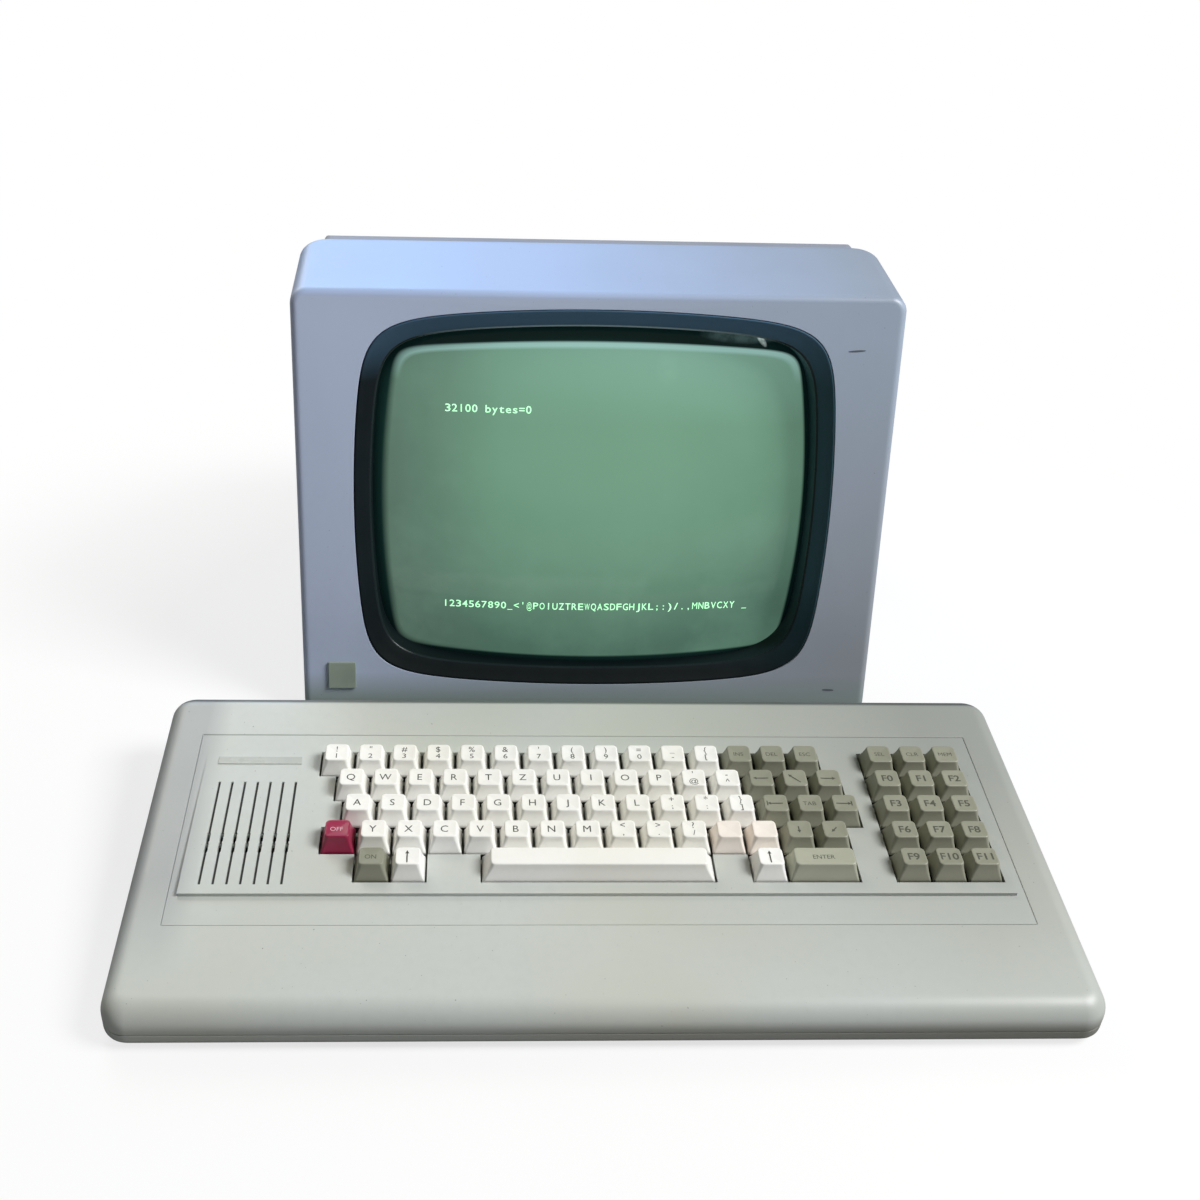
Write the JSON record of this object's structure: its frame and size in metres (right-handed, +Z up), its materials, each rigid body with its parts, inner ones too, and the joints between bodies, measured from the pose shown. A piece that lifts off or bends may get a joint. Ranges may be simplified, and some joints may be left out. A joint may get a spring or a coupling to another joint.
{
  "type": "vintage home computer",
  "caption": "Low wedge-shaped computer case with a keyboard and a number pad, and a separate picture-tube monitor with a raked face that stands close behind it.",
  "frame": {"origin": "centre of the whole part's bounding box, on the table", "axes": "+X to the user's right, +Y to the rear, +Z up"},
  "size_m": [0.4916, 0.562, 0.2674],
  "materials": {
    "case_plastic": "fine satin grain",
    "panel_plastic": "fine satin grain",
    "monitor_plastic": "fine satin grain",
    "monitor_rear_plastic": "matte",
    "mask_plastic": "satin",
    "tube_glass": "polished",
    "white_caps": "satin",
    "grey_caps": "satin",
    "red_cap": "satin",
    "badge_plastic": "satin",
    "black_plastic": "satin",
    "foot_rubber": "matte",
    "sheet_steel": "zinc plated",
    "screw_steel": "zinc plated",
    "core_steel": "laminated, varnished",
    "aluminium": "plain",
    "circuit_board": "lacquered",
    "brown_board": "bare laminate",
    "component_blue": "sleeved",
    "copper_winding": "enamelled wire",
    "speaker_frame": "matte"
  },
  "bodies": {
    "case_and_monitor": {"lower_case": "case_plastic", "upper_case": "case_plastic", "key_panel": "panel_plastic", "key_plate": "sheet_steel", "key_switches": "black_plastic", "keyboard_board": "circuit_board", "main_board": "circuit_board", "main_board_chips": "black_plastic", "regulator_heat_sink": "aluminium", "speaker": "speaker_frame", "rear_sockets": "black_plastic", "keyboard_screws": "screw_steel", "keyboard_connector": "black_plastic", "case_feet": "foot_rubber", "case_screws": "screw_steel", "power_switch_bodies": "black_plastic", "monitor_front": "monitor_plastic", "monitor_rear": "monitor_rear_plastic", "screen_mask": "mask_plastic", "picture_tube": "tube_glass", "tube_band": "sheet_steel", "tube_screws": "screw_steel", "deflection_yoke": "copper_winding", "neck_board": "brown_board", "monitor_board": "brown_board", "monitor_board_parts": "component_blue", "line_transformer": "black_plastic", "mains_transformer": "core_steel", "control_pots": "sheet_steel", "mains_inlet": "black_plastic", "video_inlet": "black_plastic", "badge_plate": "badge_plastic", "monitor_feet": "foot_rubber", "monitor_screws": "screw_steel"},
    "number_keys": {"number_keys": "white_caps"},
    "upper_letter_keys": {"upper_letter_keys": "white_caps"},
    "home_letter_keys": {"home_letter_keys": "white_caps"},
    "lower_letter_keys": {"lower_letter_keys": "white_caps"},
    "function_keys": {"function_keys": "grey_caps"},
    "red_key": {"red_key": "red_cap"},
    "stop_key": {"stop_key": "grey_caps"},
    "left_shift_key": {"left_shift_key": "white_caps"},
    "space_bar": {"space_bar": "white_caps"},
    "right_shift_key": {"right_shift_key": "white_caps"},
    "return_key": {"return_key": "grey_caps"},
    "grey_key_1a": {"grey_key_1a": "grey_caps"},
    "grey_key_1b": {"grey_key_1b": "grey_caps"},
    "grey_key_1c": {"grey_key_1c": "grey_caps"},
    "grey_key_2a": {"grey_key_2a": "grey_caps"},
    "grey_key_2b": {"grey_key_2b": "grey_caps"},
    "grey_key_2c": {"grey_key_2c": "grey_caps"},
    "grey_key_3a": {"grey_key_3a": "grey_caps"},
    "grey_key_3b": {"grey_key_3b": "grey_caps"},
    "grey_key_3c": {"grey_key_3c": "grey_caps"},
    "grey_key_4a": {"grey_key_4a": "grey_caps"},
    "grey_key_4b": {"grey_key_4b": "grey_caps"},
    "case_power_rocker": {"case_power_rocker": "black_plastic"},
    "monitor_power_rocker": {"monitor_power_rocker": "black_plastic"},
    "brightness_knob": {"brightness_knob": "black_plastic"},
    "contrast_knob": {"contrast_knob": "black_plastic"}
  },
  "joints": [
    {"name": "number_keys_press", "type": "slide", "parent": "case_and_monitor", "child": "number_keys", "axis": [0, 0.0958, -0.9954], "range_m": [0, 0.004], "stiffness_N_per_m": 1800, "springref_m": -0.002},
    {"name": "upper_letter_keys_press", "type": "slide", "parent": "case_and_monitor", "child": "upper_letter_keys", "axis": [0, 0.0958, -0.9954], "range_m": [0, 0.004], "stiffness_N_per_m": 1800, "springref_m": -0.002},
    {"name": "home_letter_keys_press", "type": "slide", "parent": "case_and_monitor", "child": "home_letter_keys", "axis": [0, 0.0958, -0.9954], "range_m": [0, 0.004], "stiffness_N_per_m": 1800, "springref_m": -0.002},
    {"name": "lower_letter_keys_press", "type": "slide", "parent": "case_and_monitor", "child": "lower_letter_keys", "axis": [0, 0.0958, -0.9954], "range_m": [0, 0.004], "stiffness_N_per_m": 1800, "springref_m": -0.002},
    {"name": "function_keys_press", "type": "slide", "parent": "case_and_monitor", "child": "function_keys", "axis": [0, 0.0958, -0.9954], "range_m": [0, 0.004], "stiffness_N_per_m": 2250, "springref_m": -0.002},
    {"name": "red_key_press", "type": "slide", "parent": "case_and_monitor", "child": "red_key", "axis": [0, 0.0958, -0.9954], "range_m": [0, 0.004], "stiffness_N_per_m": 150, "springref_m": -0.002},
    {"name": "stop_key_press", "type": "slide", "parent": "case_and_monitor", "child": "stop_key", "axis": [0, 0.0958, -0.9954], "range_m": [0, 0.004], "stiffness_N_per_m": 150, "springref_m": -0.002},
    {"name": "left_shift_key_press", "type": "slide", "parent": "case_and_monitor", "child": "left_shift_key", "axis": [0, 0.0958, -0.9954], "range_m": [0, 0.004], "stiffness_N_per_m": 150, "springref_m": -0.002},
    {"name": "space_bar_press", "type": "slide", "parent": "case_and_monitor", "child": "space_bar", "axis": [0, 0.0958, -0.9954], "range_m": [0, 0.004], "stiffness_N_per_m": 300, "springref_m": -0.002},
    {"name": "right_shift_key_press", "type": "slide", "parent": "case_and_monitor", "child": "right_shift_key", "axis": [0, 0.0958, -0.9954], "range_m": [0, 0.004], "stiffness_N_per_m": 150, "springref_m": -0.002},
    {"name": "return_key_press", "type": "slide", "parent": "case_and_monitor", "child": "return_key", "axis": [0, 0.0958, -0.9954], "range_m": [0, 0.004], "stiffness_N_per_m": 150, "springref_m": -0.002},
    {"name": "grey_key_1a_press", "type": "slide", "parent": "case_and_monitor", "child": "grey_key_1a", "axis": [0, 0.0958, -0.9954], "range_m": [0, 0.004], "stiffness_N_per_m": 150, "springref_m": -0.002},
    {"name": "grey_key_1b_press", "type": "slide", "parent": "case_and_monitor", "child": "grey_key_1b", "axis": [0, 0.0958, -0.9954], "range_m": [0, 0.004], "stiffness_N_per_m": 150, "springref_m": -0.002},
    {"name": "grey_key_1c_press", "type": "slide", "parent": "case_and_monitor", "child": "grey_key_1c", "axis": [0, 0.0958, -0.9954], "range_m": [0, 0.004], "stiffness_N_per_m": 150, "springref_m": -0.002},
    {"name": "grey_key_2a_press", "type": "slide", "parent": "case_and_monitor", "child": "grey_key_2a", "axis": [0, 0.0958, -0.9954], "range_m": [0, 0.004], "stiffness_N_per_m": 150, "springref_m": -0.002},
    {"name": "grey_key_2b_press", "type": "slide", "parent": "case_and_monitor", "child": "grey_key_2b", "axis": [0, 0.0958, -0.9954], "range_m": [0, 0.004], "stiffness_N_per_m": 150, "springref_m": -0.002},
    {"name": "grey_key_2c_press", "type": "slide", "parent": "case_and_monitor", "child": "grey_key_2c", "axis": [0, 0.0958, -0.9954], "range_m": [0, 0.004], "stiffness_N_per_m": 150, "springref_m": -0.002},
    {"name": "grey_key_3a_press", "type": "slide", "parent": "case_and_monitor", "child": "grey_key_3a", "axis": [0, 0.0958, -0.9954], "range_m": [0, 0.004], "stiffness_N_per_m": 150, "springref_m": -0.002},
    {"name": "grey_key_3b_press", "type": "slide", "parent": "case_and_monitor", "child": "grey_key_3b", "axis": [0, 0.0958, -0.9954], "range_m": [0, 0.004], "stiffness_N_per_m": 150, "springref_m": -0.002},
    {"name": "grey_key_3c_press", "type": "slide", "parent": "case_and_monitor", "child": "grey_key_3c", "axis": [0, 0.0958, -0.9954], "range_m": [0, 0.004], "stiffness_N_per_m": 150, "springref_m": -0.002},
    {"name": "grey_key_4a_press", "type": "slide", "parent": "case_and_monitor", "child": "grey_key_4a", "axis": [0, 0.0958, -0.9954], "range_m": [0, 0.004], "stiffness_N_per_m": 150, "springref_m": -0.002},
    {"name": "grey_key_4b_press", "type": "slide", "parent": "case_and_monitor", "child": "grey_key_4b", "axis": [0, 0.0958, -0.9954], "range_m": [0, 0.004], "stiffness_N_per_m": 150, "springref_m": -0.002},
    {"name": "case_power_rocker_tilt", "type": "hinge", "parent": "case_and_monitor", "child": "case_power_rocker", "pos_m": [0.12, -0.062, 0.02075], "axis": [0, 0, -1], "range_deg": [0, 20]},
    {"name": "monitor_power_rocker_tilt", "type": "hinge", "parent": "case_and_monitor", "child": "monitor_power_rocker", "pos_m": [0.0375, 0.265, 0.042], "axis": [0, 0, -1], "range_deg": [0, 20]},
    {"name": "brightness_knob_turn", "type": "hinge", "parent": "case_and_monitor", "child": "brightness_knob", "pos_m": [-0.0445, 0.268, 0.128], "axis": [0, 1, 0], "range_deg": [-140, 140]},
    {"name": "contrast_knob_turn", "type": "hinge", "parent": "case_and_monitor", "child": "contrast_knob", "pos_m": [-0.0045, 0.268, 0.128], "axis": [0, 1, 0], "range_deg": [-140, 140]}
  ]
}
